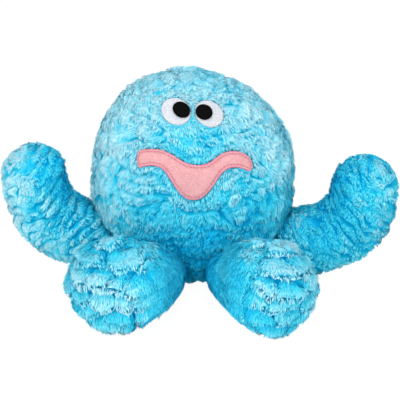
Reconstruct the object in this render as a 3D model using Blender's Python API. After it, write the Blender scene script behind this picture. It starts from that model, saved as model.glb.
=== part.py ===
"""Plush octopus dog toy: a tufted body, two raised arms, two feet, felt eyes and a felt mouth.

Everything is in metres, with +Z up. The face looks along -Y, and the origin is the middle of the
flat seat under the body.
"""
import math

import bpy
import numpy as np
from mathutils import noise

MM = 0.001

# Body: an egg that is widest at its waist and pressed flat where it sits
BODY_WIDTH = 149.5 * MM
BODY_DEPTH = 134 * MM
WAIST_HEIGHT = 68 * MM
CROWN_RISE = 83.5 * MM
BELLY_DROP = 80 * MM
CROWN_LEAN = -7.0 * MM
SHOULDER_BULGE = 3.6 * MM        # fuller stuffing at one side of the crown
SHOULDER_REACH = 0.62              # how far it spreads, in radians
SHOULDER_WAY = np.array([0.776, 0.153, 0.612])

# Arms: they leave the body level, rest on the ground and bend up to a round end
ARM_ROOT_THICKNESS = 55 * MM
ARM_END_THICKNESS = 49.5 * MM
ARM_ROOT_FORWARD = 3 * MM
ARM_ELBOW_FORWARD = 16 * MM
ARM_END_FORWARD = 24 * MM
LEFT_ARM_REACH = 112.5 * MM
RIGHT_ARM_REACH = 123.5 * MM
LEFT_ARM_HEIGHT = 78.5 * MM
RIGHT_ARM_HEIGHT = 70 * MM
LEFT_ELBOW_DROP = 1 * MM
RIGHT_ELBOW_DROP = 7 * MM

# Legs: they run forward on the ground, side by side, and end in a fat round foot
LEG_ROOT_THICKNESS = 29 * MM
LEG_ROOT_BREADTH = 1.6     # how much wider than thick
LEG_ROOT_RUN = 38 * MM     # from the body's middle to where the leg leaves it
FOOT_THICKNESS = 64 * MM
LEFT_FOOT_BREADTH = 1.22
RIGHT_FOOT_BREADTH = 1.05
LEG_MIDDLE = 3 * MM
LEG_ROOT_SPREAD = 10 * MM
LEG_KNEE_SPREAD = 27 * MM
LEFT_FOOT_SPREAD = 51 * MM
RIGHT_FOOT_SPREAD = 48 * MM
LEFT_LEG_REACH = 116.5 * MM
RIGHT_LEG_REACH = 122.5 * MM
GROUND_PRESS = 1.5 * MM    # how far a limb's underside is pressed flat
LEG_UNDERSIDE = 3.2        # a leg's underside by the body: 2 is round, more is fuller

# Tufts: soft lumps of pile with creases between them
BODY_TUFT = 15 * MM
ARM_TUFT = 17 * MM
FOOT_TUFT = 21 * MM
TUFT_DEPTH = 4.5 * MM
CREASE_SHARE = 0.34        # how much of a tuft's span slopes down into its creases

# Felt face, let into the pile
FACE_SINK = 3 * MM
EYE_THICKNESS = 1.4 * MM
PUPIL_THICKNESS = 0.8 * MM
MOUTH_THICKNESS = 1.6 * MM
THREAD_THICKNESS = 1.0 * MM
STITCH_INSET = 1.9 * MM
MOUTH_END_ROUNDING = 2 * MM

SEAM_GAP = 0.3 * MM        # between pieces that touch
LIMB_GAP = 1.2 * MM        # between limbs that lie against each other
SEAT_MARGIN = 4 * MM       # smooth pile round a limb's seat
FACE_MARGIN = 7 * MM       # flat pile round the felt

BODY_SUBDIVISIONS = 5
LIMB_SIDES = 24
LIMB_RINGS = 20
CAP_RINGS = 4
MOUTH_COLUMNS = 26
MOUTH_ROWS = 4
THREAD_SIDES = 4
PRESS_PASSES = 6

# Face places as (across, up) on the front of the body, in metres
MOUTH_TOP = np.array([(-39.5, 103.4), (-28, 106.0), (-19.5, 105.5), (-12.5, 102.5), (-5, 98.2),
                      (4, 96.4), (10.5, 97.0), (16, 100.3), (22, 103.7), (29, 104.2),
                      (36, 102.0), (43, 96.5)]) * MM
MOUTH_BOTTOM = np.array([(-39.5, 91.6), (-28, 95.0), (-22.5, 94.4), (-18, 91.0), (-14, 84.6),
                         (-10, 78.6), (-5, 73.8), (1, 72.0), (7, 73.6), (11, 77.0), (15.3, 82.4),
                         (19.5, 88.9), (24.5, 92.9), (31, 93.3), (43, 88.2)]) * MM
EYES = {
    "left": {"place": (-11.3 * MM, 130.6 * MM), "turn": math.radians(-40),
             "white": (23.4 * MM, 19.6 * MM), "pupil": (13.8 * MM, 11.4 * MM),
             "pupil_place": (-7.3 * MM, 131.0 * MM)},
    "right": {"place": (12.4 * MM, 128.8 * MM), "turn": math.radians(20),
              "white": (20.6 * MM, 21.6 * MM), "pupil": (12.4 * MM, 12.2 * MM),
              "pupil_place": (8.4 * MM, 129.4 * MM)},
}

MATERIALS = {
    "blue_plush": ((0.10, 0.55, 0.80), 0.95),
    "white_felt": ((0.85, 0.83, 0.87), 0.9),
    "black_felt": ((0.01, 0.01, 0.012), 0.8),
    "pink_felt": ((0.93, 0.42, 0.48), 0.9),
    "pink_thread": ((0.85, 0.25, 0.35), 0.6),
}


def clear_scene():
    for item in list(bpy.data.objects):
        bpy.data.objects.remove(item, do_unlink=True)


def make_materials():
    made = {}
    for name, (colour, roughness) in MATERIALS.items():
        material = bpy.data.materials.new(name)
        material.use_nodes = True
        shader = material.node_tree.nodes["Principled BSDF"]
        shader.inputs["Base Color"].default_value = (*colour, 1)
        shader.inputs["Roughness"].default_value = roughness
        shader.inputs["Metallic"].default_value = 0
        made[name] = material
    return made


def add_piece(name, points, faces, material):
    """One closed solid as an object of its own, shaded smooth but for its cut edges."""
    mesh = bpy.data.meshes.new(name)
    mesh.from_pydata([tuple(point) for point in points], [], [tuple(face) for face in faces])
    mesh.materials.append(material)
    mesh.validate()
    mesh.shade_smooth()
    mesh.set_sharp_from_angle(angle=math.radians(60))
    piece = bpy.data.objects.new(name, mesh)
    bpy.context.collection.objects.link(piece)
    return piece


def ramp(values, low, high):
    """0 up to low and 1 from high on, with an S-shaped rise between them."""
    share = np.clip((values - low) / (high - low), 0, 1)
    return share * share * (3 - 2 * share)


def unit(vectors):
    return vectors / np.linalg.norm(vectors, axis=-1, keepdims=True)


def egg(directions, grow=0.0):
    """Points of the body's outer form, one for each unit direction, offset outwards by grow."""
    across, along, up = np.moveaxis(directions, -1, 0)
    rise = np.where(up > 0, CROWN_RISE, BELLY_DROP) + grow
    x = (BODY_WIDTH / 2 + grow) * across + CROWN_LEAN * np.maximum(up, 0) ** 2
    y = (BODY_DEPTH / 2 + grow) * along
    return np.stack([x, y, WAIST_HEIGHT + rise * up], -1)


def egg_vector(points, grow=0.0):
    """The inverse of egg: its length is 1 on the offset form and less than 1 inside it."""
    x, y, z = np.moveaxis(points, -1, 0)
    up = (z - WAIST_HEIGHT) / (np.where(z > WAIST_HEIGHT, CROWN_RISE, BELLY_DROP) + grow)
    across = (x - CROWN_LEAN * np.maximum(up, 0) ** 2) / (BODY_WIDTH / 2 + grow)
    return np.stack([across, y / (BODY_DEPTH / 2 + grow), up], -1)


def onto_egg(points, grow=0.0):
    return egg(unit(egg_vector(points)), grow)


def beside_egg(points, grow):
    """Points inside the offset form moved level, away from the middle, until they lie on it."""
    vector = egg_vector(points, grow)
    level = np.linalg.norm(vector[:, :2], axis=1)
    wanted = np.sqrt(np.clip(1 - vector[:, 2] ** 2, 0, 1))
    vector[:, :2] *= np.maximum(wanted / np.maximum(level, 1e-9), 1)[:, None]
    return egg(vector, grow)


def front_of_egg(across, up):
    """The point on the front of the body that is seen at a place across and up."""
    flat = np.stack([across, np.zeros_like(across), up], -1)
    vector = egg_vector(flat)
    depth = np.sqrt(np.clip(1 - (vector ** 2).sum(-1), 0, 1))
    flat[..., 1] = -depth * BODY_DEPTH / 2
    return flat


def tuft_depth(points, span):
    """Inward depth of the pile: 0 over a tuft, TUFT_DEPTH in the creases between cells."""
    depths = np.empty(len(points))
    for index, point in enumerate(points / span):
        near, second = noise.voronoi(point)[0][:2]
        depths[index] = 1 - min((second - near) / CREASE_SHARE, 1)
    return TUFT_DEPTH * depths ** 1.5


class Limb:
    """A stuffed tube along a curve that starts inside the body and ends in a half ball."""

    SAMPLES = 160

    def __init__(self, name, handles, root_thickness, end_thickness, tuft, root_run=0, breadths=(1, 1),
                 underside=2):
        self.name = name
        self.root_run = root_run
        self.root_breadth, self.end_breadth = breadths
        self.underside = underside
        self.tuft = tuft
        self.root_radius = root_thickness / 2
        self.end_radius = end_thickness / 2
        first, second, third, last = (np.array(handle) for handle in handles)
        share = np.linspace(0, 1, self.SAMPLES)[:, None]
        self.line = ((1 - share) ** 3 * first + 3 * (1 - share) ** 2 * share * second
                     + 3 * (1 - share) * share ** 2 * third + share ** 3 * last)
        steps = np.linalg.norm(np.diff(self.line, axis=0), axis=1)
        self.run = np.concatenate([[0], np.cumsum(steps)])
        self.reach = self.run[-1] + self.end_radius * math.pi / 2
        self.heading = unit(np.gradient(self.line, self.run, axis=0))

    def along(self, table, run):
        return np.stack([np.interp(run, self.run, column) for column in table.T], -1)

    def swelling(self, run):
        """0 at the root and 1 at the end."""
        return ramp(run, self.root_run, self.run[-1])

    def radius(self, run):
        return self.root_radius + (self.end_radius - self.root_radius) * self.swelling(run)

    def surface(self, run, angle):
        """The point at a distance along the curve and an angle round it, and its centre."""
        centre = self.along(self.line, run)
        heading = unit(self.along(self.heading, run))
        side = unit(np.cross(heading, (0, 1, 0.001)) if self.rises else
                    np.cross(heading, (0, 0, 1)))
        other = np.cross(heading, side)
        past = np.clip((run - self.run[-1]) / self.end_radius, 0, math.pi / 2)[..., None]
        round_it = side * np.cos(angle)[..., None] + other * np.sin(angle)[..., None]
        down = np.clip(-round_it[..., 2:], 0, 1)
        level = np.sqrt(1 - down ** 2)
        power = 2 + (self.underside - 2) * (1 - self.swelling(run))[..., None]
        fuller = (down ** power + level ** power) ** (-1 / power)
        spread = self.radius(run)[..., None] * fuller
        breadth = self.root_breadth + (self.end_breadth - self.root_breadth) * self.swelling(run)
        round_it = round_it + side * ((breadth - 1) * np.cos(angle))[..., None]
        point = centre + spread * (round_it * np.cos(past) + heading * np.sin(past))
        return point, centre

    @property
    def rises(self):
        return self.line[-1, 2] - self.line[0, 2] > self.end_radius

    def outside(self, points):
        """Distance from the tube's skin, and the nearest centre and radius."""
        offsets = points[:, None, :] - self.line[None]
        gaps = np.linalg.norm(offsets, axis=-1) - self.radius(self.run)
        nearest = gaps.argmin(1)
        return gaps[np.arange(len(points)), nearest], self.line[nearest], self.radius(self.run)[nearest]

    def leave_body(self, angle):
        """The distance along each lengthwise line at which it comes out of the body."""
        low = np.zeros_like(angle)
        high = np.full_like(angle, self.run[-1])
        for _ in range(40):
            middle = (low + high) / 2
            point, _ = self.surface(middle, angle)
            inside = np.linalg.norm(egg_vector(point, SEAM_GAP), axis=-1) < 1
            low = np.where(inside, middle, low)
            high = np.where(inside, high, middle)
        return high


def make_arm(side, name, reach, height, elbow_drop):
    """side is -1 for the arm on the left of the picture and 1 for the other."""
    level = ARM_ROOT_THICKNESS / 2 - GROUND_PRESS
    handles = [(0, -ARM_ROOT_FORWARD, level),
               (side * reach * 0.84, -ARM_ELBOW_FORWARD, level - elbow_drop),
               (side * reach * 1.0, -(ARM_ELBOW_FORWARD + ARM_END_FORWARD) / 2,
                level - elbow_drop + (height - level) * 0.28),
               (side * reach, -ARM_END_FORWARD, height)]
    return Limb(name, handles, ARM_ROOT_THICKNESS, ARM_END_THICKNESS, ARM_TUFT)


def make_leg(side, name, reach, foot_spread, breadth):
    root_level = LEG_ROOT_THICKNESS / 2 - GROUND_PRESS
    foot_level = FOOT_THICKNESS / 2 - GROUND_PRESS
    handles = [(LEG_MIDDLE + side * LEG_ROOT_SPREAD, 0, root_level),
               (LEG_MIDDLE + side * LEG_KNEE_SPREAD, -reach * 0.45, root_level),
               (LEG_MIDDLE + side * (LEG_KNEE_SPREAD + foot_spread) / 2, -reach * 0.75, foot_level),
               (LEG_MIDDLE + side * foot_spread, -reach, foot_level)]
    return Limb(name, handles, LEG_ROOT_THICKNESS, FOOT_THICKNESS, FOOT_TUFT,
                LEG_ROOT_RUN, (LEG_ROOT_BREADTH, breadth), LEG_UNDERSIDE)


def press_clear(points, arms, middle_side):
    """Dent a soft limb where it would enter an arm, the other leg, the body or the ground."""
    for _ in range(PRESS_PASSES):
        for arm in arms:
            gaps, centres, radii = arm.outside(points)
            pushed = centres + unit(points - centres) * (radii + LIMB_GAP)[:, None]
            points = np.where((gaps < LIMB_GAP)[:, None], pushed, points)
        if middle_side:
            from_middle = np.maximum(middle_side * (points[:, 0] - LEG_MIDDLE), LIMB_GAP / 2)
            points[:, 0] = LEG_MIDDLE + middle_side * from_middle
        points[:, 2] = np.maximum(points[:, 2], 0)
        points = beside_egg(points, SEAM_GAP)
    return points


def build_limb(limb, material, arms=(), middle_side=0):
    """Rings along the tube from the body to the end's pole, closed by a cap that fits the body."""
    angle = np.linspace(0, 2 * math.pi, LIMB_SIDES, endpoint=False)
    start = limb.leave_body(angle)
    share = np.linspace(0, 1, LIMB_RINGS + 1)[:-1, None]
    run = start + (limb.reach - start) * share
    skin, centre = limb.surface(run, np.broadcast_to(angle, run.shape))
    pole, pole_centre = limb.surface(np.array([limb.reach]), np.array([0.0]))
    skin = np.concatenate([skin.reshape(-1, 3), pole])
    centre = np.concatenate([centre.reshape(-1, 3), pole_centre])

    from_body = np.linalg.norm(egg_vector(skin, SEAM_GAP), axis=-1) - 1
    free = ramp(from_body * BODY_DEPTH / 2, 0, SEAT_MARGIN) * ramp(skin[:, 2], 0, TUFT_DEPTH)
    depth = tuft_depth(skin, limb.tuft) * free
    skin = skin - unit(skin - centre) * depth[:, None]

    rim = skin[:LIMB_SIDES]
    hub = rim.mean(0)
    parts = np.arange(CAP_RINGS, 0, -1) / (CAP_RINGS + 1)
    cap = np.concatenate([hub + (rim - hub) * part for part in parts] + [[hub]])
    cap = onto_egg(cap, SEAM_GAP)
    points = press_clear(np.concatenate([skin, cap]), arms, middle_side)

    faces = []
    pole_at = LIMB_SIDES * LIMB_RINGS
    rings = [np.arange(LIMB_SIDES) + LIMB_SIDES * ring for ring in range(LIMB_RINGS)]
    cap_rings = [pole_at + 1 + np.arange(LIMB_SIDES) + LIMB_SIDES * ring for ring in range(CAP_RINGS)]
    order = cap_rings[::-1] + rings
    for here, there in zip(order, order[1:]):
        faces += zip(here, np.roll(here, -1), np.roll(there, -1), there)
    hub_at = len(points) - 1
    faces += [(hub_at, after, at) for at, after in zip(order[0], np.roll(order[0], -1))]
    faces += [(pole_at, at, after) for at, after in zip(order[-1], np.roll(order[-1], -1))]
    return add_piece(limb.name, points, faces, material)


def build_body(limbs, felt_points, material):
    """The egg as an icosphere, pressed flat by its seat, with tufts all over but for its seats."""
    bpy.ops.mesh.primitive_ico_sphere_add(subdivisions=BODY_SUBDIVISIONS, radius=1)
    body = bpy.context.object
    body.name = body.data.name = "body"
    body.data.materials.append(material)
    flat = np.empty(len(body.data.vertices) * 3)
    body.data.vertices.foreach_get("co", flat)
    directions = unit(flat.reshape(-1, 3))
    outer = egg(directions)

    free = ramp(outer[:, 2], 0, TUFT_DEPTH)
    for limb in limbs:
        free *= ramp(limb.outside(outer)[0], SEAT_MARGIN / 2, SEAT_MARGIN * 2)
    to_felt = np.min(np.linalg.norm(outer[:, None] - felt_points[None], axis=-1), axis=1)
    felt = 1 - ramp(to_felt, FACE_MARGIN, FACE_MARGIN * 1.6)
    away = unit(outer - (0, 0, WAIST_HEIGHT))
    turn = np.arccos(np.clip(away @ SHOULDER_WAY, -1, 1))
    bulge = SHOULDER_BULGE * np.exp(-(turn / SHOULDER_REACH) ** 2) * free * (1 - felt)
    depth = tuft_depth(outer, BODY_TUFT) * free * (1 - felt) + FACE_SINK * felt
    skin = outer + away * (bulge - depth)[:, None]
    skin[:, 2] = np.maximum(skin[:, 2], 0)
    body.data.vertices.foreach_set("co", skin.ravel())
    body.data.update()
    body.data.shade_smooth()
    return body


def smooth_line(places, across):
    """Heights of a smooth line through the places: a cubic between each two, slopes shared."""
    xs, heights = places.T
    slopes = np.gradient(heights, xs)
    at = np.clip(np.searchsorted(xs, across) - 1, 0, len(xs) - 2)
    width = xs[at + 1] - xs[at]
    t = (across - xs[at]) / width
    start = heights[at] * (1 + 2 * t) * (1 - t) ** 2 + slopes[at] * width * t * (1 - t) ** 2
    return start + heights[at + 1] * t * t * (3 - 2 * t) + slopes[at + 1] * width * t * t * (t - 1)


def mouth_grid():
    """Columns across the mouth from end to end, each split into rows; the ends are round."""
    left, right = MOUTH_TOP[0, 0], MOUTH_TOP[-1, 0]
    turn = np.linspace(0, math.pi, MOUTH_COLUMNS + 1)
    even = np.linspace(left, right, MOUTH_COLUMNS + 1)
    eased = (left + right) / 2 - (right - left) / 2 * np.cos(turn)
    across = even + (eased - even) * 0.35
    top = smooth_line(MOUTH_TOP, across)
    bottom = smooth_line(MOUTH_BOTTOM, across)
    to_end = np.minimum(across - left, right - across) / MOUTH_END_ROUNDING
    fullness = np.sqrt(np.clip(1 - (1 - np.clip(to_end, 0, 1)) ** 2, 0, 1))
    middle = (top + bottom) / 2
    share = np.linspace(-0.5, 0.5, MOUTH_ROWS + 1)
    up = middle[:, None] + (top - bottom)[:, None] * fullness[:, None] * share
    return np.broadcast_to(across[:, None], up.shape), up


def mouth_layout():
    """The mouth's points and faces, with one shared point at each end, and its rim in order."""
    across, up = mouth_grid()
    places = [(across[0, 0], up[0, 0])]
    places += [(a, u) for a, u in zip(across[1:-1].ravel(), up[1:-1].ravel())]
    places += [(across[-1, 0], up[-1, 0])]
    rows = MOUTH_ROWS + 1
    columns = [[1 + column * rows + row for row in range(rows)] for column in range(MOUTH_COLUMNS - 1)]
    last = len(places) - 1
    faces = []
    for here, there in zip(columns, columns[1:]):
        faces += [(here[row], there[row], there[row + 1], here[row + 1]) for row in range(MOUTH_ROWS)]
    faces += [(0, columns[0][row], columns[0][row + 1]) for row in range(MOUTH_ROWS)]
    faces += [(columns[-1][row + 1], columns[-1][row], last) for row in range(MOUTH_ROWS)]
    rim = [0] + [column[0] for column in columns] + [last] + [column[-1] for column in columns[::-1]]
    return np.array(places), faces, rim


def oval_layout(place, size, turn, sides=20, rings=3):
    """An oval's points as rings about its middle, in the plane that touches the body there."""
    middle = front_of_egg(np.array(place[0]), np.array(place[1]))
    normal = unit(middle - (0, 0, WAIST_HEIGHT))
    side = unit(np.cross((0, 0, 1), normal))
    rise = np.cross(normal, side)
    angle = np.linspace(0, 2 * math.pi, sides, endpoint=False)
    points = [middle]
    for ring in range(1, rings + 1):
        a = size[0] / 2 * np.cos(angle) * ring / rings
        b = size[1] / 2 * np.sin(angle) * ring / rings
        across = a * math.cos(turn) - b * math.sin(turn)
        up = a * math.sin(turn) + b * math.cos(turn)
        points += list(middle + side * across[:, None] + rise * up[:, None])
    loops = [1 + ring * sides + np.arange(sides) for ring in range(rings)]
    faces = [(0, at, after) for at, after in zip(loops[0], np.roll(loops[0], -1))]
    for inner, outer in zip(loops, loops[1:]):
        faces += zip(inner, outer, np.roll(outer, -1), np.roll(inner, -1))
    return np.array(points), faces, list(loops[-1])


def cut_sheet(name, points, faces, rim, low, thickness, material):
    """Felt of even thickness that follows the body, with square cut edges."""
    count = len(points)
    bottom = onto_egg(points, low)
    top = onto_egg(points, low + thickness)
    solid = [tuple(at + count for at in face) for face in faces]
    solid += [tuple(face[::-1]) for face in faces]
    solid += [(at, after, after + count, at + count) for at, after in zip(rim, rim[1:] + rim[:1])]
    return add_piece(name, np.concatenate([bottom, top]), solid, material)


def build_eyes(materials):
    """White ovals let into the pile, with a black oval on each at its inner side."""
    felt_points = []
    low = SEAM_GAP - FACE_SINK
    for side, eye in EYES.items():
        points, faces, rim = oval_layout(eye["place"], eye["white"], eye["turn"])
        cut_sheet(f"eye_white_{side}", points, faces, rim, low, EYE_THICKNESS, materials["white_felt"])
        felt_points.append(onto_egg(points))
        points, faces, rim = oval_layout(eye["pupil_place"], eye["pupil"], eye["turn"], 16, 2)
        cut_sheet(f"pupil_{side}", points, faces, rim, low + EYE_THICKNESS + SEAM_GAP,
                  PUPIL_THICKNESS, materials["black_felt"])
    return np.concatenate(felt_points)


def inset(outline, distance):
    """A closed outline moved inwards, square to the line through each point's neighbours."""
    along = unit(np.roll(outline, -1, axis=0) - np.roll(outline, 1, axis=0))
    return outline + np.column_stack([-along[:, 1], along[:, 0]]) * distance


def build_mouth(materials):
    places, faces, rim = mouth_layout()
    points = front_of_egg(places[:, 0], places[:, 1])
    low = SEAM_GAP - FACE_SINK
    cut_sheet("mouth", points, faces, rim, low, MOUTH_THICKNESS, materials["pink_felt"])
    build_stitching(places[rim], low + MOUTH_THICKNESS + SEAM_GAP, materials["pink_thread"])
    return onto_egg(points)


def build_stitching(outline, low, material):
    """One loop of thread that lies on the felt, just inside its edge."""
    radius = THREAD_THICKNESS / 2
    loop = inset(outline, STITCH_INSET)
    line = front_of_egg(loop[:, 0], loop[:, 1])
    centre = onto_egg(line, low + radius)
    outward = unit(onto_egg(line, low + radius + THREAD_THICKNESS) - centre)
    along = unit(np.roll(centre, -1, axis=0) - np.roll(centre, 1, axis=0))
    beside = unit(np.cross(along, outward))
    sides = (np.arange(THREAD_SIDES) + 0.5) * 2 * math.pi / THREAD_SIDES
    rings = [centre + radius * (outward * math.sin(a) + beside * math.cos(a)) for a in sides]
    count = len(centre)
    at = np.arange(count)
    after = np.roll(at, -1)
    faces = []
    for side in range(THREAD_SIDES):
        here = side * count
        there = (side + 1) % THREAD_SIDES * count
        faces += zip(here + at, here + after, there + after, there + at)
    add_piece("mouth_stitching", np.concatenate(rings), faces, material)


def build_toy():
    clear_scene()
    materials = make_materials()
    plush = materials["blue_plush"]
    arms = [make_arm(-1, "arm_left", LEFT_ARM_REACH, LEFT_ARM_HEIGHT, LEFT_ELBOW_DROP),
            make_arm(1, "arm_right", RIGHT_ARM_REACH, RIGHT_ARM_HEIGHT, RIGHT_ELBOW_DROP)]
    legs = [make_leg(-1, "leg_left", LEFT_LEG_REACH, LEFT_FOOT_SPREAD, LEFT_FOOT_BREADTH),
            make_leg(1, "leg_right", RIGHT_LEG_REACH, RIGHT_FOOT_SPREAD, RIGHT_FOOT_BREADTH)]
    for arm in arms:
        build_limb(arm, plush)
    for leg, side in zip(legs, (-1, 1)):
        build_limb(leg, plush, arms, side)
    felt_points = np.concatenate([build_eyes(materials), build_mouth(materials)])
    build_body(arms + legs, felt_points, plush)


build_toy()
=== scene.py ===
"""Looks of the plush octopus dog toy: long pile in combed tufts, felt eyes and a felt mouth."""
import math

import bmesh
import bpy
import numpy as np
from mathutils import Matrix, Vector


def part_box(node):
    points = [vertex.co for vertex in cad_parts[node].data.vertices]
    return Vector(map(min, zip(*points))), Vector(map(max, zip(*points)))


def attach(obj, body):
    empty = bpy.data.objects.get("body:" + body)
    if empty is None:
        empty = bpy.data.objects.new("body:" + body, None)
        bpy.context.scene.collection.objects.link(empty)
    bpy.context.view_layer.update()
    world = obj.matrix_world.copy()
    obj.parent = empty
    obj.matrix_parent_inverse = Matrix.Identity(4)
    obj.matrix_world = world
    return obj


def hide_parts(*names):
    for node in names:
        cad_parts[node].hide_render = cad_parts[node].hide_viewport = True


MM = 0.001

# Camera: where the photograph was taken from, and the width that its frame spans at the body
VIEW_ELEVATION = math.radians(17)
VIEW_DISTANCE = 950 * MM
FRAME_WIDTH = 300 * MM
VIEW_ACROSS = 5.5 * MM
VIEW_UP = 50 * MM
SENSOR_WIDTH = 36

# Studio: each lamp's place and width in metres and its power in watts, and the white surroundings
LAMPS = {"key": ((-0.75, -0.8, 0.8), 0.6, 5.5), "front": ((-0.1, -1.1, 0.2), 0.8, 5),
         "fill": ((0.9, -0.6, 0.5), 0.8, 3), "top": ((0.1, -0.2, 1.2), 0.7, 6)}
LAMPS_AIM = (0, 0, 60 * MM)
AMBIENT_LIGHT = 0.8
FLOOR_WIDTH = 6
FLOOR_WHITE = 1.05
FLOOR_WHITE_SHARE = 0.92   # the rest is the lit floor, which carries the shadow

# Body egg, as the solid's outer form is made
WAIST_HEIGHT = 68 * MM
CROWN_LEAN = -7.0 * MM
KEEL_DEPTH = 80 * MM       # from the waist down to where the egg would end

# Sewn and stuffed cover under the pile
COVER_VOXEL = 5.8 * MM
COVER_SMOOTHING = 8
COVER_SUBDIVISIONS = 2
STUFFING_PRESSURE = 4
STUFFING_FRAMES = 20
STUFFING_SWELL = 1.5 * MM
GROUND_CLEARANCE = 0.2 * MM

# Pile. A level is 0 at the bottom of a crease and 1 on top of a tuft
UNMOVED_LEVEL = 0.45       # level at which the pile's bed stays where the smooth cover was
PLAIN_LEVEL = 0.65         # level at which a fibre gets neither painted crease shade nor painted highlight, only the painted light and shade of its place
FIBRE_WIDTH = 0.62 * MM
ROOT_DEPTH = 0.3 * MM
WANDER_SIZE = 18 * MM      # how far apart a crease's bends are, and its smaller ones
SMALL_WANDER_SIZE = 7 * MM
NOISE_CELLS = 32

# Face. Fibres near the felt lie round it, and those that reach it end a little over its edge
EYES_FROM = 114 * MM       # height from which felt belongs to the eyes
FACE_MARGIN = 3 * MM
FELT_SPOTS = 3.0 / MM ** 2
FELT_BED = (1.2 * MM, 3.2 * MM)
FELT_INSIDE = 0.25 * MM
FELT_NEAR = 2.2 * MM
EYES_NEAR = 1.6 * MM
FELT_OVER = 0.7 * MM
FELT_UNDER = 0.5 * MM
CUT_EDGE_ANGLE = 0.9
CUT_EDGE_SHARPNESS = 0.55
EYE_SUBDIVISIONS = 2
MOUTH_SUBDIVISIONS = 3

# Seam round the mouth
SEAM_INSET = 1.9 * MM
SEAM_PULL = 0.35 * MM
SEAM_GROOVE = 0.9 * MM
DEEPER_EDGE_BAND = (0.2 * MM, 0.7 * MM)
FELT_RIPPLE = 0.12 * MM
FELT_RIPPLE_SIZE = 2.2 * MM
LINE_STEP = 0.25 * MM
STITCH_PITCH = 2.5 * MM
STITCH_SPAN = (0.04, 0.90)
STITCH_RISE = 0.32 * MM
STITCH_DIP = 0.12 * MM
STITCH_RINGS = 8
THREAD_THICKNESS = 0.6 * MM
THREAD_SIDES = 6

# Colours as sRGB: the felts', thread's and floor's are the real materials' own
# The pile's are one cyan pile as shaded and lit copies, from painted shade through plain to painted
# light and sheen
PILE_ROOTS_SHADE_TO_LIGHT = ("#008bbc", "#13a6c3", "#84c6d4")
PILE_TIPS_SHADE_TO_LIGHT = ("#00cbf8", "#58dcee", "#c8e3e9")
WHITE_FELT = ("#a2a9b0", "#bbbbc1")
BLACK_FELT = ("#010101", "#040404")
PINK_FELT = ("#be878a", "#cb989a")
PINK_EDGE = "#c0607e"
PINK_THREAD = "#bd667e"
FLOOR_PALE = "#f4f4f4"

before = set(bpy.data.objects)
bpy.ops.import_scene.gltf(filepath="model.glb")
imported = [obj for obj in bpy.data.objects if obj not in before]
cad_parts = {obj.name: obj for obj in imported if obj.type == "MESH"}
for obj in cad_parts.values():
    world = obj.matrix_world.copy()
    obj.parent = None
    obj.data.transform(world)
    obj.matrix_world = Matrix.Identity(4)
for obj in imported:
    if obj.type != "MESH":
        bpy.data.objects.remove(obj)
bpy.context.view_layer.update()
random = np.random.default_rng(7)


def linear(hex_colour):
    """An sRGB hex colour as linear RGBA."""
    channels = [int(hex_colour[at:at + 2], 16) / 255 for at in (1, 3, 5)]
    return [c / 12.92 if c <= 0.04045 else ((c + 0.055) / 1.055) ** 2.4 for c in channels] + [1.0]


def unit(vectors):
    """Each vector over its own length."""
    return vectors / np.maximum(np.linalg.norm(vectors, axis=-1, keepdims=True), 1e-12)


def dot(a, b):
    """The dot product of each pair of vectors."""
    return (a * b).sum(-1)


def ramp(values, low, high):
    """0 below low and 1 above high, with a smooth rise between: 3 shares squared less 2 cubed."""
    share = np.clip((values - low) / (high - low), 0, 1)
    return share * share * (3 - 2 * share)


def add_node(tree, kind, settings=None, links=None):
    """A node with its settings, and its inputs set to a value or joined to a socket."""
    node = tree.nodes.new(kind)
    for name, value in (settings or {}).items():
        setattr(node, name, value)
    for name, value in (links or {}).items():
        socket = node.inputs[name]
        if isinstance(value, bpy.types.NodeSocket):
            tree.links.new(value, socket)
        else:
            socket.default_value = value
    return node


def new_material(name):
    """A material with an empty node tree, and the tree."""
    material = bpy.data.materials.new(name)
    material.use_nodes = True
    material.node_tree.nodes.clear()
    return material, material.node_tree


def finish_material(tree, **inputs):
    """The shader of a material, with its inputs, joined to the output."""
    shader = add_node(tree, "ShaderNodeBsdfPrincipled", links=inputs)
    add_node(tree, "ShaderNodeOutputMaterial", links={"Surface": shader.outputs["BSDF"]})


def colour_ramp(tree, fac, stops):
    """A colour that follows a value through stops, each a place from 0 to 1 and an sRGB hex."""
    node = add_node(tree, "ShaderNodeValToRGB", links={"Fac": fac})
    elements = node.color_ramp.elements
    while len(elements) < len(stops):
        elements.new(0.5)
    for element, (place, colour) in zip(elements, stops):
        element.position = place
        element.color = linear(colour)
    return node.outputs["Color"]


def pile_material():
    """Polyester pile of one cyan, with painted light: deep at the root, a painted shade where light is
    lost between fibres, pale at the tip, a painted sheen where the tips catch light. The map's u is
    each fibre's painted light and shade and its v the place along it."""
    material, tree = new_material("polyester_pile")
    uv = add_node(tree, "ShaderNodeUVMap", {"uv_map": "OFBake"})
    split = add_node(tree, "ShaderNodeSeparateXYZ", links={"Vector": uv.outputs["UV"]})
    root = colour_ramp(tree, split.outputs["X"], list(zip((0.0, 0.5, 1.0), PILE_ROOTS_SHADE_TO_LIGHT)))
    tip = colour_ramp(tree, split.outputs["X"], list(zip((0.0, 0.5, 1.0), PILE_TIPS_SHADE_TO_LIGHT)))
    mixed = add_node(tree, "ShaderNodeMix", {"data_type": "RGBA"},
                     {0: split.outputs["Y"], 6: root, 7: tip})
    finish_material(tree, **{"Base Color": mixed.outputs[2], "Roughness": 0.85,
                             "Specular IOR Level": 0.04})
    return material


def cover_material():
    """Knitted backing of the pile, seen only between fibres: the pile's root colour by painted light
    and shade, as on the pile.
    """
    material, tree = new_material("knitted_backing")
    painted_light_by_place = add_node(tree, "ShaderNodeAttribute", {"attribute_name": "painted_light_by_place"})
    colour = colour_ramp(tree, painted_light_by_place.outputs["Fac"], list(zip((0.0, 0.5, 1.0), PILE_ROOTS_SHADE_TO_LIGHT)))
    finish_material(tree, **{"Base Color": colour, "Roughness": 0.9, "Specular IOR Level": 0.04})
    return material


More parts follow.
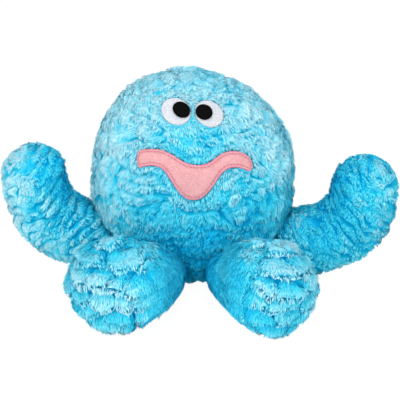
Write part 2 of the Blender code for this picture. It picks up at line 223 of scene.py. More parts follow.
def felt_material(name, colours, edge_colour=None):
    """Pressed wool-like felt: matt, mottled by its short tangled fibres, which also roughen it.
    The attribute edge is 1 along a cut edge, where the colour turns to the deeper edge colour."""
    material, tree = new_material(name)
    place_on = add_node(tree, "ShaderNodeTexCoord").outputs["Object"]
    fibres = add_node(tree, "ShaderNodeTexNoise", links={
        "Vector": place_on, "Scale": 1 / (1.1 * MM), "Detail": 3.0, "Roughness": 0.6})
    clouds = add_node(tree, "ShaderNodeTexNoise", links={
        "Vector": place_on, "Scale": 1 / (7 * MM), "Detail": 1.0})
    most = add_node(tree, "ShaderNodeMath", {"operation": "MULTIPLY"},
                    {0: fibres.outputs["Fac"], 1: 0.8})
    mottle = add_node(tree, "ShaderNodeMath", {"operation": "MULTIPLY_ADD"},
                      {0: clouds.outputs["Fac"], 1: 0.2, 2: most.outputs[0]})
    colour = colour_ramp(tree, mottle.outputs[0], [(0.4, colours[0]), (0.6, colours[1])])
    if edge_colour:
        edge = add_node(tree, "ShaderNodeAttribute", {"attribute_name": "edge"})
        colour = add_node(tree, "ShaderNodeMix", {"data_type": "RGBA"},
                          {0: edge.outputs["Fac"], 6: colour, 7: linear(edge_colour)}).outputs[2]
    bump = add_node(tree, "ShaderNodeBump", links={
        "Height": fibres.outputs["Fac"], "Strength": 0.5, "Distance": 0.3 * MM})
    finish_material(tree, **{"Base Color": colour, "Roughness": 0.95, "Specular IOR Level": 0.08,
                             "Normal": bump.outputs["Normal"]})
    return material


def thread_material():
    """Spun polyester thread: a soft gloss, and a twist too fine to show but as a slight roughness."""
    material, tree = new_material("sewing_thread")
    finish_material(tree, **{"Base Color": linear(PINK_THREAD), "Roughness": 0.55,
                             "Specular IOR Level": 0.3})
    return material


def add_mesh(name, points, loops, sizes, material, uvs=None):
    """A mesh from points, each face's corners in one flat array, and the corners per face."""
    mesh = bpy.data.meshes.new(name)
    mesh.vertices.add(len(points))
    mesh.vertices.foreach_set("co", np.ascontiguousarray(points, np.float32).ravel())
    mesh.loops.add(len(loops))
    mesh.loops.foreach_set("vertex_index", np.ascontiguousarray(loops, np.int32))
    mesh.polygons.add(len(sizes))
    starts = np.concatenate([[0], np.cumsum(sizes)[:-1]])
    mesh.polygons.foreach_set("loop_start", starts.astype(np.int32))
    mesh.polygons.foreach_set("loop_total", np.asarray(sizes, np.int32))
    if uvs is not None:
        layer = mesh.uv_layers.new(name="OFBake")
        layer.data.foreach_set("uv", np.ascontiguousarray(uvs, np.float32).ravel())
    mesh.update(calc_edges=True)
    mesh.shade_smooth()
    mesh.materials.append(material)
    piece = bpy.data.objects.new(name, mesh)
    bpy.context.scene.collection.objects.link(piece)
    return piece


def read_mesh(mesh):
    """Points, triangles and vertex normals of a mesh as arrays."""
    mesh.calc_loop_triangles()
    points = np.empty(len(mesh.vertices) * 3)
    mesh.vertices.foreach_get("co", points)
    normals = np.empty(len(mesh.vertices) * 3)
    mesh.vertices.foreach_get("normal", normals)
    triangles = np.empty(len(mesh.loop_triangles) * 3, np.int32)
    mesh.loop_triangles.foreach_get("vertices", triangles)
    return points.reshape(-1, 3), triangles.reshape(-1, 3), normals.reshape(-1, 3)


def egg_level(points):
    """How far out a point lies from the body's middle: 1 on its outer form. It is the length of
    the point's place across, along and up, each over the egg's half-width that way. The crown
    leans aside by the square of the height."""
    low, high = (np.array(corner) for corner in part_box("body"))
    rise = np.where(points[:, 2] > WAIST_HEIGHT, high[2] - WAIST_HEIGHT, KEEL_DEPTH)
    up = (points[:, 2] - WAIST_HEIGHT) / rise
    across = (points[:, 0] - CROWN_LEAN * np.maximum(up, 0) ** 2) / ((high[0] - low[0]) / 2)
    along = (points[:, 1] - (low[1] + high[1]) / 2) / ((high[1] - low[1]) / 2)
    return np.sqrt(across ** 2 + along ** 2 + up ** 2)


def set_attribute(mesh, name, values):
    """A value from 0 to 1 on every point of a mesh, for its material to read."""
    layer = mesh.attributes.new(name, "FLOAT", "POINT")
    layer.data.foreach_set("value", np.clip(values, 0, 1).astype(np.float32))


def evaluated_mesh(piece):
    """A new mesh of the piece as its modifiers leave it."""
    return bpy.data.meshes.new_from_object(
        piece.evaluated_get(bpy.context.evaluated_depsgraph_get()))


def make_cover(node, fullness):
    """The sewn cover as stuffing fills it: the solid remeshed with its tufts smoothed away,
    swollen by cloth pressure, subdivided, and as full over or under the solid as given."""
    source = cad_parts[node]
    piece = bpy.data.objects.new(node + "_cover", source.data.copy())
    bpy.context.scene.collection.objects.link(piece)
    remesh = piece.modifiers.new("Remesh", "REMESH")
    remesh.mode = "VOXEL"
    remesh.voxel_size = COVER_VOXEL
    tufted, _, _ = read_mesh(evaluated_mesh(piece))
    smooth = piece.modifiers.new("Smooth", "SMOOTH")
    smooth.iterations = COVER_SMOOTHING
    mesh = evaluated_mesh(piece)
    piece.modifiers.clear()
    piece.data = mesh
    points, _, normals = read_mesh(mesh)
    lost = dot(tufted - points, normals).mean()
    sunk = points + normals * (lost + fullness - STUFFING_SWELL)
    mesh.vertices.foreach_set("co", sunk.ravel())
    swell = normals * STUFFING_SWELL
    cloth = piece.modifiers.new("Cloth", "CLOTH")
    cloth.settings.use_pressure = True
    cloth.settings.uniform_pressure_force = STUFFING_PRESSURE
    cloth.settings.effector_weights.gravity = 0
    for step in range(1, STUFFING_FRAMES + 1):
        bpy.context.scene.frame_set(step)
    swollen, _, _ = read_mesh(evaluated_mesh(piece))
    swell = swollen - sunk
    reach = np.linalg.norm(swell, axis=1, keepdims=True)
    swell = swell * np.minimum(1, STUFFING_SWELL / np.maximum(reach, 1e-9))
    piece.modifiers.clear()
    bpy.context.scene.frame_set(1)
    mesh.vertices.foreach_set("co", (sunk + swell).ravel())
    subdivision = piece.modifiers.new("Subdivision", "SUBSURF")
    subdivision.levels = subdivision.render_levels = COVER_SUBDIVISIONS
    piece.data = evaluated_mesh(piece)
    piece.modifiers.clear()
    return piece


def lattice_noise(points, size, seed):
    """Smooth noise from -1 to 1: random values at the corners of a lattice, blended between."""
    table = np.random.default_rng(seed).uniform(-1, 1, NOISE_CELLS ** 3).astype(np.float32)
    steps = np.array([NOISE_CELLS ** 2, NOISE_CELLS, 1], np.int32)
    place = points / size + 100
    cell = np.floor(place).astype(np.int32)
    share = (place - cell).astype(np.float32)
    sx, sy, sz = (share * share * (3 - 2 * share)).T
    x, y, z = ((cell & (NOISE_CELLS - 1)) * steps).T
    x_next, y_next, z_next = (((cell + 1) & (NOISE_CELLS - 1)) * steps).T

    def along_z(at):
        low, high = table[at + z], table[at + z_next]
        return low + (high - low) * sz

    def over_y(at):
        low, high = along_z(at + y), along_z(at + y_next)
        return low + (high - low) * sy

    low, high = over_y(x), over_y(x_next)
    return low + (high - low) * sx


def warp(points, size, amount, seed):
    """Points moved by smooth noise of that size, so that what is laid out on them wanders."""
    push = np.stack([lattice_noise(points, size, seed + axis) for axis in range(3)], 1)
    return points + amount * push


def spread_out(points, count):
    """Indices of points that lie far from each other: each next one is the furthest from the rest."""
    chosen = [0]
    gap = np.linalg.norm(points - points[0], axis=1)
    for _ in range(count - 1):
        chosen.append(int(gap.argmax()))
        gap = np.minimum(gap, np.linalg.norm(points - points[chosen[-1]], axis=1))
    return np.array(chosen)


def nearest_two(points, centres):
    """Each point's nearest centre, its distance, and how far the border to the next nearest is:
    the difference of the squared distances, over twice the distance between the two centres."""
    own = np.empty(len(points), int)
    near, border = np.empty(len(points)), np.empty(len(points))
    for start in range(0, len(points), 4000):
        few = slice(start, start + 4000)
        part = points[few]
        gap = np.maximum((part ** 2).sum(1)[:, None] + (centres ** 2).sum(1) - 2 * part @ centres.T, 0)
        rows = np.arange(len(part))
        first = gap.argmin(1)
        least = gap[rows, first].copy()
        gap[rows, first] = np.inf
        second = gap.argmin(1)
        apart = np.linalg.norm(centres[first] - centres[second], axis=1)
        own[few] = first
        near[few] = np.sqrt(least)
        border[few] = (gap[rows, second] - least) / (2 * np.maximum(apart, 1e-9))
    return own, near, border


def lie_of_pile(normals, turn):
    """The way the pile is combed: down and a little forward along the surface, turned by an angle."""
    down = np.array([0, -0.3, -1.0])
    lie = unit(down - normals * dot(normals, down)[:, None] + normals[:, [1, 0, 2]] * 1e-3)
    beside = np.cross(normals, lie)
    return unit(lie * np.cos(turn)[:, None] + beside * np.sin(turn)[:, None])


def folds(points, along, pitch, seed):
    """Wandering folds of crushed pile: 0 in a valley and 1 on a ridge. Ridges follow each other at
    a pitch along one way, on points that noise has moved, and are deeper here, shallower there."""
    laid = warp(warp(points, 2.4 * pitch, 1.3 * pitch, seed), 1.1 * pitch, 0.4 * pitch, seed + 5)
    wave = 0.5 - 0.5 * np.cos(2 * math.pi * (laid @ unit(np.array(along))) / pitch)
    depth = 0.3 + 0.7 * ramp(lattice_noise(points, 1.8 * pitch, seed + 9), -0.5, 0.4)
    return 1 - depth * wave ** 2


class Tufts:
    """Where the tufts and creases of one pile lie.

    The cover is split between centres about a tuft apart, on a wandering copy of its points, so
    that the edges wave. Within a tuft the level rises from 0 in the crease to a dome near 1, and
    more so towards its lower lip. The folds of crushed pile are mixed in, upright on the sides."""

    def __init__(self, base, size, stretch, crease, lip, wander, crushed, pitch, along, seed,
                 upright_sides=False, row=0, fade=None):
        self.size = size
        self.stretch = stretch
        self.crease = crease
        self.lip = lip
        self.wander = wander
        self.crushed = crushed
        self.pitch = pitch
        self.along = along
        self.seed = seed
        self.upright_sides = upright_sides
        self.fade = fade
        chance = np.random.default_rng(seed)
        laid = self.lay(base)
        self.centres = self.choose_centres(laid, row, chance)
        own = nearest_two(laid, self.centres)[0]
        held = np.maximum(np.bincount(own, minlength=len(self.centres)), 1)
        self.middles = np.stack([np.bincount(own, column, len(self.centres)) / held
                                 for column in base.T], 1)

    def lay(self, points):
        """The wandering copy of points, stretched upwards, so that tufts are wider than high."""
        moved = warp(points, WANDER_SIZE, self.wander, self.seed)
        moved = warp(moved, SMALL_WANDER_SIZE, 0.35 * self.wander, self.seed + 5)
        return moved * np.array([1, 1, self.stretch])

    def choose_centres(self, laid, row, chance):
        """Centres of tufts: points far from each other, some left out, so that tufts differ in
        size. With a row height they are moved up or down to rows, and of two close ones one goes."""
        area = len(laid) * (COVER_VOXEL / 2 ** COVER_SUBDIVISIONS) ** 2
        count = int(area * self.stretch * 1.35 / self.size ** 2)
        centres = laid[spread_out(laid, count)]
        centres = centres[chance.random(len(centres)) > (0.1 if row else 0.26)]
        if not row:
            return centres
        rows = np.round(centres[:, 2] / row / self.stretch)
        centres[:, 2] = (rows + chance.normal(0, 0.1, len(centres))) * row * self.stretch
        apart = np.linalg.norm(centres[:, None] - centres, axis=-1)
        return centres[~(np.tril(apart < 0.6 * self.size, -1)).any(1)]

    def crushed_level(self, points):
        """The level of crushed pile: wide folds with finer ones in them, upright on the sides."""
        level = np.minimum(folds(points, self.along, self.pitch, self.seed + 20),
                           0.3 + 0.7 * folds(points, self.along, 0.6 * self.pitch, self.seed + 40))
        if not self.upright_sides:
            return level
        aside = ramp(np.abs(points[:, 0]), 38 * MM, 58 * MM)
        upright = folds(points, (0.5, 0.86, 0.1), 1.4 * self.pitch, self.seed + 60)
        return level * (1 - aside) + upright * aside

    def at(self, points, normals):
        """The level at points of the smooth cover, and the number of the tuft that each is in."""
        laid = self.lay(points)
        own, _, border = nearest_two(laid, self.centres)
        lower = np.clip((self.centres[own] - laid)[:, 2] / self.size + 0.5, 0, 1)
        dome = ramp(border, 0, self.crease * (1 - 0.8 * self.lip * lower))
        level = dome * (1 - self.lip + self.lip * lower * 1.35)
        level = level * (1 - self.crushed) + self.crushed_level(points) * self.crushed
        level = level + 0.12 * lattice_noise(points, 4 * MM, self.seed + 7)
        if self.fade is not None:
            level = 0.6 + (level - 0.6) * self.fade(points, normals)
        gap = felt_gap(points)
        level = np.maximum(level, 0.85 * (1 - ramp(gap, *FELT_BED)))
        return np.clip(np.where(gap < FELT_INSIDE, 0.1, level), 0, 1.1), own


def raise_tufts(piece, tufts, height):
    """The cover's points raised by the level of the tufts. Returns where they were, and the level."""
    base, _, normals = read_mesh(piece.data)
    level, _ = tufts.at(base, normals)
    points = base + normals * (height * (level - UNMOVED_LEVEL))[:, None]
    points[:, 2] = np.maximum(points[:, 2], GROUND_CLEARANCE)
    piece.data.vertices.foreach_set("co", points.ravel())
    piece.data.update()
    piece.data.shade_smooth()
    return base, level


def scatter(mesh, density, *values):
    """Points spread evenly over a mesh, with their normals and the values its points carry there.
    Each picks a triangle by its share of the area, and a place in it."""
    points, triangles, normals = read_mesh(mesh)
    corners = points[triangles]
    area = np.linalg.norm(np.cross(corners[:, 1] - corners[:, 0], corners[:, 2] - corners[:, 0]),
                          axis=1) / 2
    pick = random.choice(len(triangles), int(area.sum() * density), p=area / area.sum())
    share = random.random((len(pick), 2))
    share = np.where(share.sum(1, keepdims=True) > 1, 1 - share, share)
    weights = np.column_stack([1 - share.sum(1), share])
    spot = (corners[pick] * weights[:, :, None]).sum(1)
    normal = unit((normals[triangles[pick]] * weights[:, :, None]).sum(1))
    carried = [(value[triangles[pick]] * weights).sum(1) for value in values]
    return spot, normal, *carried


def comb(spot, normal, rest, own, tufts, tuft_turn, stray, fan):
    """The way that each fibre lies. Its turn is a slow drift over the pile, its tuft's own turn, a
    small one of its own, and more the further it grows to one side of its tuft, so that tufts fan
    out. Round the eyes fibres lie at all angles."""
    turn = (1.3 * stray * lattice_noise(spot, 40 * MM, 3) + tuft_turn[own]
            + random.normal(0, 0.14, len(spot)))
    beside = np.cross(normal, lie_of_pile(normal, turn))
    turn = turn + fan * np.clip(dot(rest - tufts.middles[own], beside) / tufts.size, -1, 1)
    round_eyes = (felt_gap(rest) < EYES_NEAR) & (rest[:, 2] > EYES_FROM)
    turn = turn + 1.3 * round_eyes * random.normal(0, 1, len(spot))
    return lie_of_pile(normal, turn)


def cut_to_length(rest, normal, lie, level, tufts, length, overhang, beside_felt):
    """How long each fibre is: less in a crease, and less where it would reach over one."""
    reach = length * random.uniform(0.75, 1.15, len(rest)) * (0.35 + 0.65 * np.clip(level, 0, 1))
    for share in (1.0, 0.5):
        ahead, _ = tufts.at(rest + lie * (share * reach)[:, None], normal)
        ahead[beside_felt] = 1
        reach = reach * (overhang + (1 - overhang) * ramp(ahead, 0.15, 0.5))
    return reach


def stand_off(lie, normal, angle, reach):
    """A step along each fibre's lie, lifted off the surface by an angle."""
    return (lie * np.cos(angle)[:, None] + normal * np.sin(angle)[:, None]) * reach[:, None]


def end_on_floor(root, middle, tip):
    """Fibres that would go below the ground are shortened to end on it."""
    drop = (root - tip)[:, 2]
    share = np.clip((root[:, 2] - GROUND_CLEARANCE) / np.maximum(drop, 1e-9), 0.15, 1)
    share = np.where(drop > 0, share, 1)[:, None]
    return root + (middle - root) * share, root + (tip - root) * share


def fibre_strips(root, middle, tip, normal):
    """The corners of each fibre's flat strip: the root, the two sides of its middle and the tip.
    Each strip is rolled a little about its own length."""
    ahead = unit(tip - root)
    side = unit(np.cross(ahead, normal))
    roll = random.normal(0, 0.12, len(root))
    side = side * np.cos(roll)[:, None] + np.cross(side, ahead) * np.sin(roll)[:, None]
    wide = (random.uniform(0.7, 1.25, len(root)) * FIBRE_WIDTH / 2)[:, None]
    points = np.stack([root, middle - side * wide, middle + side * wide, tip], 1)
    points[..., 2] = np.maximum(points[..., 2], GROUND_CLEARANCE)
    return points


def grow_pile(name, cover, base, tufts, height, density, length, lift, stray, fan, overhang, painted_light_by_place,
              painted_crease_contrast, keep=None, parts=1):
    """Fibres over a tufted cover, from base, where its points were before the tufts were raised.
    A fibre's colour is painted light and shade: by its place on the toy, darker in a crease and paler
    on a tuft's top by its level, and a random tone by its tuft."""
    spot, normal, *rest = scatter(cover.data, density, *base.T)
    rest = np.stack(rest, 1)
    if keep is not None:
        kept = keep(spot)
        spot, normal, rest = spot[kept], normal[kept], rest[kept]
    level, own = tufts.at(rest, normal)
    chance = np.random.default_rng(11)
    tuft_turn = chance.normal(0, stray, len(tufts.centres))
    tuft_shade = chance.normal(0, 0.07, len(tufts.centres))
    beside_felt = felt_gap(rest) < FELT_NEAR
    lie = comb(spot, normal, rest, own, tufts, tuft_turn, stray, fan)
    angle = lift * random.uniform(0.6, 1.3, len(spot)) + 0.35 * beside_felt
    reach = cut_to_length(rest, normal, lie, level, tufts, length, overhang, beside_felt)
    root = np.maximum(rest + normal * (height * (level - UNMOVED_LEVEL) - ROOT_DEPTH)[:, None],
                      [-1, -1, GROUND_CLEARANCE])
    middle = root + stand_off(lie, normal, angle * 1.5, reach * 0.45)
    tip = root + stand_off(lie, normal, angle, reach)
    middle, tip = around_felt(root, middle, tip)
    middle, tip = end_on_floor(root, middle, tip)
    points = fibre_strips(root, middle, tip, normal)
    # Painted light and shade by place, painted crease shade and top highlight by level, and a random
    # tone by tuft and fibre
    painted_light_and_tone = np.clip(painted_light_by_place(spot, normal) + painted_crease_contrast * (level - PLAIN_LEVEL) + tuft_shade[own]
                     + 0.06 * lattice_noise(rest, 1.5 * MM, 17)
                     + random.normal(0, 0.07, len(spot)), 0.02, 0.98)
    corners = np.array([0, 2, 1, 1, 2, 3])
    us = np.stack([painted_light_and_tone, painted_light_and_tone - 0.004, painted_light_and_tone + 0.004, painted_light_and_tone], 1)
    # Fibres low in a crease keep more of their root colour along their length: painted crease shade
    vs = np.array([0.01, 0.45, 0.45, 0.99]) * (0.3 + 0.7 * np.clip(1.4 * level, 0, 1))[:, None]
    uvs = np.stack([us, vs], -1)[:, corners]
    from_front = np.argsort(spot[:, 1])
    for part, rows in enumerate(np.array_split(from_front, parts)):
        loops = (np.arange(len(rows))[:, None] * 4 + corners).ravel()
        piece = add_mesh(f"{name}_{part + 1}" if parts > 1 else name, points[rows].reshape(-1, 3),
                         loops, np.full(len(rows) * 2, 3), polyester_pile,
                         uvs[rows].reshape(-1, 2))
        place(piece, "plush")


def face_samples():
    """Points all over the felt pieces of the face, for telling which fibres they cover."""
    spots = [scatter(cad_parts[node].data, FELT_SPOTS)[0]
             for node in ("eye_white_left", "eye_white_right", "mouth")]
    return np.concatenate(spots)


def felt_gap(points):
    """Each point's distance from the felt, seen from the front; large for points far from the face."""
    low, high = felt.min(0) - FACE_MARGIN, felt.max(0) + FACE_MARGIN
    near = ((points > low) & (points < high))[:, [0, 2]].all(1) & (points[:, 1] < 0)
    gap = np.full(len(points), 1.0)
    flat = felt[:, [0, 2]]
    rows = np.flatnonzero(near)
    for part in np.array_split(rows, max(1, len(rows) // 2000)):
        gap[part] = nearest_two(points[part][:, [0, 2]], flat)[1]
    return gap


def around_felt(root, middle, tip):
    """Fibres rooted under the felt are pressed flat there, and those that would cross it end just
    over its edge, a little further in on the eyes than on the mouth."""
    under = felt_gap(root) < FELT_UNDER
    crossing = felt_gap(tip) < FELT_OVER
    part = random.uniform(0.3, 0.8, len(tip)) * np.where(root[:, 2] > EYES_FROM, 1, 0.6)
    shorten = np.where(under, 0.05, np.where(crossing, part, 1.0))[:, None]
    return root + (middle - root) * shorten, root + (tip - root) * shorten


def cut_felt(node, material, levels):
    """A felt piece: the solid's mesh merged and subdivided, with its cut edges only slightly
    rounded. Returns it with the outline of its outer face in order."""
    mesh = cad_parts[node].data.copy()
    shape = bmesh.new()
    shape.from_mesh(mesh)
    bmesh.ops.remove_doubles(shape, verts=shape.verts, dist=1e-3 * MM)
    bmesh.ops.join_triangles(shape, faces=shape.faces, angle_face_threshold=0.5,
                             angle_shape_threshold=0.9)
    crease = shape.edges.layers.float.new("crease_edge")
    middle = sum((v.co for v in shape.verts), Vector()) / len(shape.verts)
    outward = (middle - Vector((0, 0, WAIST_HEIGHT))).normalized()
    beside = {}
    for edge in shape.edges:
        if edge.calc_face_angle(0) > CUT_EDGE_ANGLE:
            edge[crease] = CUT_EDGE_SHARPNESS
            if max(face.normal.dot(outward) for face in edge.link_faces) > 0.5:
                for here, there in (tuple(edge.verts), tuple(edge.verts)[::-1]):
                    beside.setdefault(here, []).append(there)
    rim = [next(iter(beside))]
    while len(rim) < len(beside):
        rim.append(next(v for v in beside[rim[-1]] if v not in rim[-2:]))
    rim = np.array([v.co[:] for v in rim])
    shape.to_mesh(mesh)
    shape.free()
    piece = bpy.data.objects.new(node + "_felt", mesh)
    bpy.context.scene.collection.objects.link(piece)
    subdivision = piece.modifiers.new("Subdivision", "SUBSURF")
    subdivision.levels = subdivision.render_levels = levels
    piece.data = evaluated_mesh(piece)
    piece.modifiers.clear()
    piece.data.materials.clear()
    piece.data.materials.append(material)
    piece.data.shade_smooth()
    return piece, rim


def even_line(loop, spacing):
    """Points at even spacing along a closed line, smoothed by a periodic cubic through its points."""
    ends = np.concatenate([loop[-2:], loop, loop[:3]])
    fine = []
    share = np.linspace(0, 1, 8, endpoint=False)[:, None]
    for a, b, c, d in zip(ends, ends[1:], ends[2:], ends[3:]):
        fine.append(b + 0.5 * share * (c - a + share * (2 * a - 5 * b + 4 * c - d
                                                        + share * (3 * (b - c) + d - a))))
    fine = np.concatenate(fine[1:-1])
    closed = np.concatenate([fine, fine[:1]])
    run = np.concatenate([[0], np.cumsum(np.linalg.norm(np.diff(closed, axis=0), axis=1))])
    count = int(run[-1] / spacing)
    at = np.linspace(0, run[-1], count, endpoint=False)
    return np.stack([np.interp(at, run, column) for column in closed.T], 1)


def sew_line(felt_piece, rim, material):
    """Lockstitches along the felt's edge, with the felt pulled down along them and its cut edge
    marked. The seam is the edge's line moved inward, and the pull fades with the square of the
    distance from it."""
    rim = even_line(rim, LINE_STEP)
    points, _, normals = read_mesh(felt_piece.data)
    edge_gap = nearest_two(points, rim)[1]
    set_attribute(felt_piece.data, "edge", 1 - ramp(edge_gap, *DEEPER_EDGE_BAND))
    along = unit(np.roll(rim, -4, axis=0) - np.roll(rim, 4, axis=0))
    outward = unit(rim - np.array([0, 0, WAIST_HEIGHT]))
    inward = unit(np.cross(outward, along))
    if dot(rim.mean(0) - rim, inward).mean() < 0:
        inward = -inward
    seam = rim + inward * SEAM_INSET
    seam = even_line(seam[::6], LINE_STEP)
    pull = SEAM_PULL * np.exp(-(nearest_two(points, seam)[1] / SEAM_GROOVE) ** 2)
    ripple = FELT_RIPPLE * lattice_noise(points, FELT_RIPPLE_SIZE, 5)
    points = points - normals * pull[:, None] + normals * ripple[:, None]
    felt_piece.data.vertices.foreach_set("co", points.ravel())
    felt_piece.data.update()
    return lockstitches(seam, material)


def lockstitches(seam, material):
    """Stitches along a closed seam: each is a short thread that rises from its hole in an arch,
    lies on the felt and dips into the next hole, thinner at both ends."""
    per_stitch = int(STITCH_PITCH / LINE_STEP)
    stitches = len(seam) // per_stitch
    share = np.linspace(*STITCH_SPAN, STITCH_RINGS)
    at = (np.arange(stitches)[:, None] + share) * per_stitch
    closed = np.concatenate([seam, seam[:1]])
    centre = np.stack([np.interp(at, np.arange(len(closed)), column) for column in closed.T], -1)
    ahead = unit(np.gradient(centre, axis=1))
    up = unit(centre - np.array([0, 0, WAIST_HEIGHT]))
    side = unit(np.cross(ahead, up))
    up = np.cross(side, ahead)
    arch = np.sin(np.pi * (share - share[0]) / (share[-1] - share[0]))
    radius = THREAD_THICKNESS / 2 * (0.25 + 0.75 * arch ** 0.4)
    centre = centre + up * (STITCH_RISE * arch - STITCH_DIP)[:, None]
    turn = np.arange(THREAD_SIDES) * 2 * math.pi / THREAD_SIDES
    ring = side[:, :, None] * np.cos(turn)[:, None] + up[:, :, None] * np.sin(turn)[:, None]
    skin = centre[:, :, None] + ring * radius[:, None, None]
    first = (np.arange(stitches) * STITCH_RINGS * THREAD_SIDES)[:, None, None]
    row = (np.arange(STITCH_RINGS - 1) * THREAD_SIDES)[:, None]
    here, after = np.arange(THREAD_SIDES), (np.arange(THREAD_SIDES) + 1) % THREAD_SIDES
    quads = np.stack([first + row + here, first + row + THREAD_SIDES + here,
                      first + row + THREAD_SIDES + after, first + row + after], -1).reshape(-1, 4)
    last = (STITCH_RINGS - 1) * THREAD_SIDES
    caps = np.concatenate([first[:, 0] + here, first[:, 0] + last + here[::-1]])
    loops = np.concatenate([quads.ravel(), caps.ravel()])
    sizes = np.concatenate([np.full(len(quads), 4), np.full(len(caps), THREAD_SIDES)])
    return add_mesh("mouth_stitches", skin.reshape(-1, 3), loops, sizes, material)


def set_camera():
    """The photograph's camera: it looks down at the toy, and its lens frames the width there."""
    forward = np.array([0, math.cos(VIEW_ELEVATION), -math.sin(VIEW_ELEVATION)])
    up = np.array([0, math.sin(VIEW_ELEVATION), math.cos(VIEW_ELEVATION)])
    target = np.array([VIEW_ACROSS, 0, 0]) + up * VIEW_UP
    data = bpy.data.cameras.new("camera")
    data.sensor_width = SENSOR_WIDTH
    data.lens = SENSOR_WIDTH * VIEW_DISTANCE / FRAME_WIDTH
    camera = bpy.data.objects.new("camera", data)
    camera.location = target - forward * VIEW_DISTANCE
    camera.rotation_euler = Vector(forward).to_track_quat("-Z", "Y").to_euler()
    bpy.context.scene.collection.objects.link(camera)
    bpy.context.scene.camera = camera


def add_lamp(name, place, width, power):
    """A round soft lamp that shines on the toy."""
    data = bpy.data.lights.new(name, "AREA")
    data.shape = "DISK"
    data.size = width
    data.energy = power
    lamp = bpy.data.objects.new(name, data)
    lamp.location = place
    lamp.rotation_euler = (Vector(LAMPS_AIM) - Vector(place)).to_track_quat("-Z", "Y").to_euler()
    bpy.context.scene.collection.objects.link(lamp)


def set_world():
    """White behind the toy for the camera, and a softer white light from all around."""
    world = bpy.data.worlds.new("studio")
    bpy.context.scene.world = world
    world.use_nodes = True
    tree = world.node_tree
    tree.nodes.clear()
    path = add_node(tree, "ShaderNodeLightPath")
    ambient = add_node(tree, "ShaderNodeBackground",
                       links={"Color": (1, 1, 1, 1), "Strength": AMBIENT_LIGHT})
    backdrop = add_node(tree, "ShaderNodeBackground", links={"Color": (1, 1, 1, 1), "Strength": 1.0})
    mixed = add_node(tree, "ShaderNodeMixShader",
                     links={0: path.outputs["Is Camera Ray"], 1: ambient.outputs[0],
                            2: backdrop.outputs[0]})
    add_node(tree, "ShaderNodeOutputWorld", links={"Surface": mixed.outputs[0]})


def add_floor():
    """A pale floor, most of which the camera sees as white, and the rest as lit and shadowed."""
    material, tree = new_material("studio_floor")
    path = add_node(tree, "ShaderNodeLightPath")
    lit = add_node(tree, "ShaderNodeBsdfDiffuse", links={"Color": linear(FLOOR_PALE)})
    white = add_node(tree, "ShaderNodeEmission",
                     links={"Color": (1, 1, 1, 1), "Strength": FLOOR_WHITE})
    share = add_node(tree, "ShaderNodeMath", {"operation": "MULTIPLY"},
                     {0: path.outputs["Is Camera Ray"], 1: FLOOR_WHITE_SHARE})
    mixed = add_node(tree, "ShaderNodeMixShader",
                     links={0: share.outputs[0], 1: lit.outputs[0], 2: white.outputs[0]})
    add_node(tree, "ShaderNodeOutputMaterial", links={"Surface": mixed.outputs[0]})
    bpy.ops.mesh.primitive_plane_add(size=FLOOR_WIDTH)
    floor = bpy.context.object
    floor.name = "floor"
    floor.data.materials.append(material)


def set_studio():
    """Plain soft light, a white world and the floor."""
    bpy.context.scene.view_settings.view_transform = "Standard"
    set_world()
    for name, (place, width, power) in LAMPS.items():
        add_lamp(name, place, width, power)
    add_floor()


def place(piece, slot, *nodes):
    """The piece moves with the toy and stands for the nodes named. Its slot is not used."""
    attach(piece, "root")
    if nodes:
        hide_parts(*nodes)


def body_painted_light(points, normals):
    """Painted light and shade: pale at the crown and sides, a painted highlight and sheen, and a
    little darker on the right, away from the key light;
    deeper on the front, between eyes and mouth the most, and low between the limbs, painted shade."""
    front = ramp(-normals[:, 1], 0.65, 1.0)
    nose = np.exp(-((points - np.array([0, -60 * MM, 116 * MM])) ** 2).sum(1) / (24 * MM) ** 2)
    return (0.17 + 0.57 * ramp(points[:, 2], 10 * MM, 100 * MM) - 0.11 * normals[:, 0]
            + 0.12 * ramp(points[:, 2], 100 * MM, 145 * MM) - 0.16 * front - 0.22 * nose)


def arm_painted_light(points, normals):
    """Painted light and shade: deep below and on the side towards the body, pale on the outer side,
    and paler on the left arm, nearer the key light.
    """
    outward = normals[:, 0] * np.sign(points[:, 0])
    leftness = -points[:, 0] / MM
    return (0.37 + (0.38 + 0.001 * leftness) * np.clip(outward, -1, 1) + 0.06 * normals[:, 2]
            + 0.0008 * leftness)


def leg_inside(points, normals):
    """1 on the side of a leg that faces the other leg, and 0 on the rest."""
    return ramp(-normals[:, 0] * np.sign(points[:, 0]), 0.15, 0.75)


def leg_painted_light(points, normals):
    """Painted light and shade: pale at the foot, deep where the leg goes back to the body, on its
    inner side and low.
    """
    return (0.24 + 0.24 * ramp(-points[:, 1], 75 * MM, 125 * MM)
            - 0.13 * leg_inside(points, normals) - 0.16 * ramp(-points[:, 2], -34 * MM, -6 * MM))


def foot_only(points, normals):
    """How much of the tufts shows: all on the front of the foot, little on the leg behind it."""
    return ((0.2 + 0.8 * ramp(-points[:, 1], 75 * MM, 120 * MM))
            * (1 - 0.85 * leg_inside(points, normals)))


def clear_of_body(points):
    """Points of a limb that aren't inside the body."""
    return egg_level(points) > 0.97


def dress_plush(node, fullness, height, tufts, pile):
    """A stuffed piece: its sewn cover, full of stuffing and tufted, and the pile that grows on it."""
    cover = make_cover(node, fullness)
    tufts = Tufts(read_mesh(cover.data)[0], **tufts)
    base, level = raise_tufts(cover, tufts, height)
    points, _, normals = read_mesh(cover.data)
    # The backing gets the pile's painted light and shade: by place, and darker in creases and paler on
    # tops by level
    set_attribute(cover.data, "painted_light_by_place", pile["painted_light_by_place"](points, normals)
                  + pile["painted_crease_contrast"] * (level - PLAIN_LEVEL))
    cover.data.materials.clear()
    cover.data.materials.append(knitted_backing)
    place(cover, "plush", node)
    grow_pile(node + "_pile", cover, base, tufts, height, **pile)


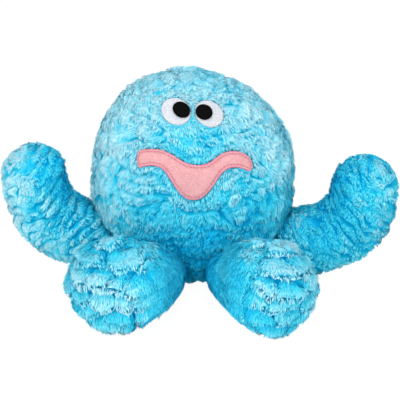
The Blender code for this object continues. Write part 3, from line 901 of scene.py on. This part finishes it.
def dress_eye(side):
    """A felt eye: a black pupil on a white."""
    for part, slot, material in (("eye_white", "white_felt", white_felt),
                                 ("pupil", "black_felt", black_felt)):
        piece, _ = cut_felt(f"{part}_{side}", material, EYE_SUBDIVISIONS)
        place(piece, slot, f"{part}_{side}")


def dress_mouth():
    """The felt mouth and the line of stitches along its edge."""
    piece, rim = cut_felt("mouth", pink_felt, MOUTH_SUBDIVISIONS)
    place(piece, "pink_felt", "mouth")
    place(sew_line(piece, rim, thread_material()), "pink_thread", "mouth_stitching")


# How each stuffed piece is dressed. Fullness is how far its cover stands out from the solid,
# height how high its tufts rise from crease to top. Crushed is the share of folds in the tufts.
# Lift, stray and fan are angles of the fibres, in radians: off the surface, of whole tufts and
# outward in a tuft. Overhang is the share of its length that a fibre keeps before a crease
# Each pile's shading function paints light and shade by place, and its crease number how much darker
# its creases and paler its tops are painted
BODY = dict(fullness=0.6 * MM, height=4.4 * MM,
            tufts=dict(size=15 * MM, stretch=1.5, crease=3.6 * MM, lip=0.35, wander=7 * MM,
                       crushed=0.62, pitch=7 * MM, along=(0, 0, 1), seed=21, upright_sides=True),
            pile=dict(density=1.8 / MM ** 2, length=4.4 * MM, lift=0.22, stray=0.38, fan=0.5,
                      overhang=0.55, painted_light_by_place=body_painted_light, painted_crease_contrast=0.6, parts=2))
ARM = dict(fullness=1.2 * MM, height=3.8 * MM,
           tufts=dict(size=16 * MM, stretch=1.2, crease=3.5 * MM, lip=0.15, wander=6 * MM,
                      crushed=0.85, pitch=6.5 * MM, along=(-0.6, -0.2, 0.75), seed=31),
           pile=dict(density=2.0 / MM ** 2, length=2.8 * MM, lift=0.35, stray=0.5, fan=0.3,
                     overhang=0.65, painted_light_by_place=arm_painted_light, painted_crease_contrast=0.8, keep=clear_of_body))
LEG = dict(fullness=-0.8 * MM, height=6.5 * MM,
           tufts=dict(size=19 * MM, stretch=2.0, crease=3.4 * MM, lip=0.6, wander=5 * MM,
                      crushed=0.15, pitch=7 * MM, along=(0, 0, 1), seed=41, row=10.5 * MM,
                      fade=foot_only),
           pile=dict(density=1.85 / MM ** 2, length=4.6 * MM, lift=0.26, stray=0.14, fan=0.75,
                     overhang=0.4, painted_light_by_place=leg_painted_light, painted_crease_contrast=0.8, keep=clear_of_body))
PLUSH = {"body": BODY, "arm_left": ARM,
         "arm_right": dict(ARM, tufts=dict(ARM["tufts"], along=(0.6, -0.2, 0.75), seed=32)),
         "leg_left": LEG, "leg_right": dict(LEG, tufts=dict(LEG["tufts"], seed=42))}

set_camera()
set_studio()
felt = face_samples()
polyester_pile = pile_material()
white_felt = felt_material("pressed_white_felt", WHITE_FELT)
black_felt = felt_material("pressed_black_felt", BLACK_FELT)
pink_felt = felt_material("pressed_pink_felt", PINK_FELT, PINK_EDGE)
knitted_backing = cover_material()
for node, look in PLUSH.items():
    dress_plush(node, **look)
for side in ("left", "right"):
    dress_eye(side)
dress_mouth()
